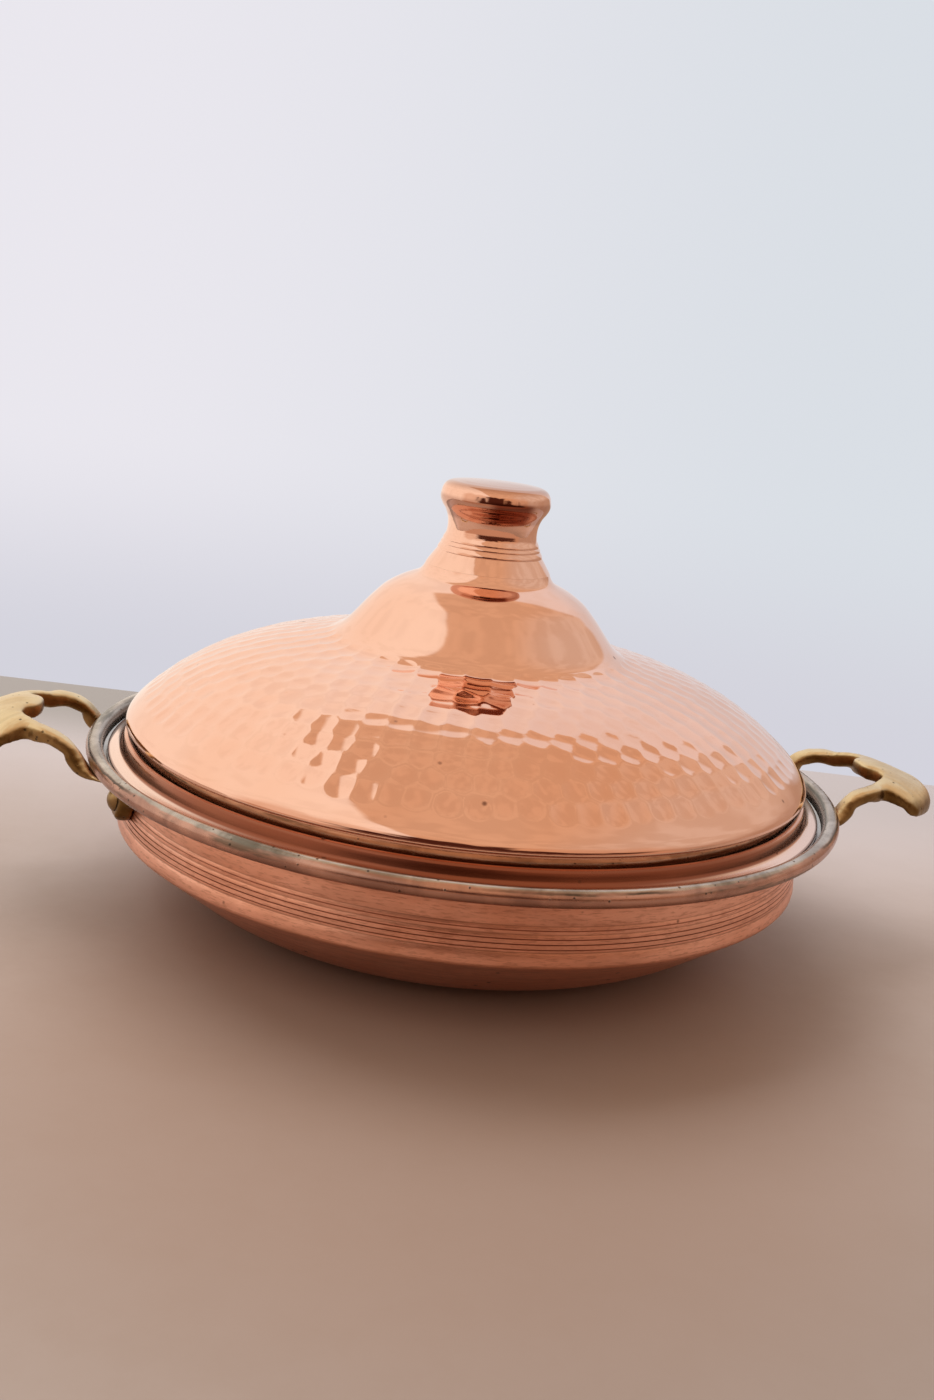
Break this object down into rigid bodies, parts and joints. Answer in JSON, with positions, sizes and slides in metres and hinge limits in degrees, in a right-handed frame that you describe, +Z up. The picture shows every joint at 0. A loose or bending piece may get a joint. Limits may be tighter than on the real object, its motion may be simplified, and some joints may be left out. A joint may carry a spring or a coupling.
{
  "type": "lidded egg pan",
  "caption": "Shallow round copper egg pan with a rolled rim, riveted brass side handles and a hammered domed lid that lifts off by its waisted knob.",
  "frame": {"origin": "centre of the flat base, on the surface that the pan stands on", "axes": "+Z up along the pan's axis, +X towards the right handle, +Y away from the side that faces the picture's camera"},
  "size_m": [0.294, 0.22, 0.1271],
  "materials": {
    "pan_copper": "satin copper with fine turned lines, tinned inside",
    "lid_copper": "polished copper, hammered dome, tinned inside",
    "knob_copper": "polished copper",
    "handle_brass": "cast brass, worn on top, dark at the sides",
    "rivet_brass": "darkened brass",
    "plug_brass": "turned brass",
    "wire_steel": "plain drawn wire",
    "screw_steel": "plain steel"
  },
  "bodies": {
    "pan": {"pan_body": "pan_copper", "rim_wire": "wire_steel", "right_handle": "handle_brass", "left_handle": "handle_brass", "right_rivets": "rivet_brass", "left_rivets": "rivet_brass"},
    "lid": {"lid_shell": "lid_copper", "knob": "knob_copper", "knob_plug": "plug_brass", "knob_washer": "screw_steel", "knob_screw": "screw_steel"}
  },
  "joints": [
    {"name": "lid_lift", "type": "slide", "parent": "pan", "child": "lid", "axis": [0, 0, 1], "range_m": [0, 0.1]}
  ]
}
